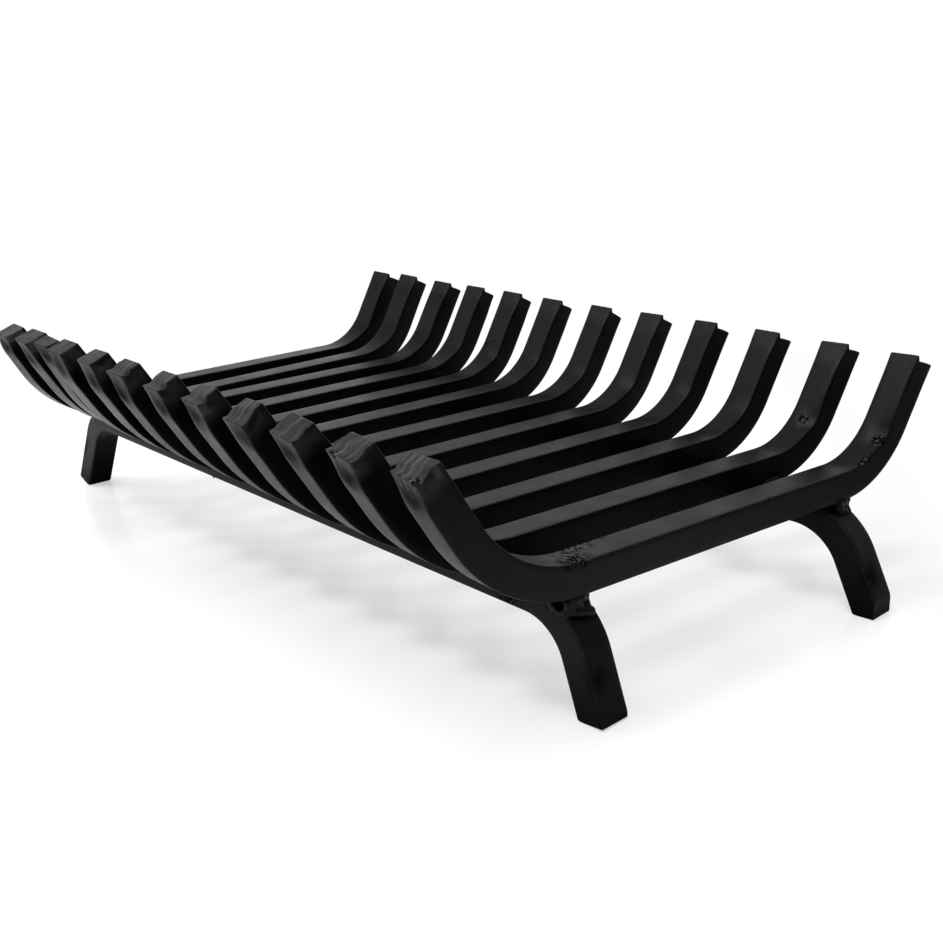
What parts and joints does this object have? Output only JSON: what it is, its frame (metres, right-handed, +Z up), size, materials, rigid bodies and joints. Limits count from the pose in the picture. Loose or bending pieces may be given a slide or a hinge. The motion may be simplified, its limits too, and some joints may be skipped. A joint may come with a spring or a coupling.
{
  "type": "log grate",
  "caption": "Fireplace log grate of square bars bent up at both ends, welded onto bent square rails whose ends form its splayed legs, painted satin black",
  "frame": {"origin": "on the floor, under the middle of the grate's length and depth", "axes": "+X along the leg rails, from the crowded end of the row to the open end; +Y from the short front arms to the longer rear arms; +Z up"},
  "size_m": [0.6846, 0.4082, 0.1665],
  "materials": {
    "black_paint": "satin black paint on bent square steel bar",
    "painted_weld": "satin black paint over rough weld metal"
  },
  "bodies": {
    "root": {"grate_bar_01": "black_paint", "grate_bar_02": "black_paint", "grate_bar_03": "black_paint", "grate_bar_04": "black_paint", "grate_bar_05": "black_paint", "grate_bar_06": "black_paint", "grate_bar_07": "black_paint", "grate_bar_08": "black_paint", "grate_bar_09": "black_paint", "grate_bar_10": "black_paint", "grate_bar_11": "black_paint", "grate_bar_12": "black_paint", "front_leg_rail": "black_paint", "rear_leg_rail": "black_paint", "front_rail_beads": "painted_weld", "rear_rail_beads": "painted_weld", "front_right_weld": "painted_weld", "rear_right_weld": "painted_weld"}
  },
  "joints": []
}
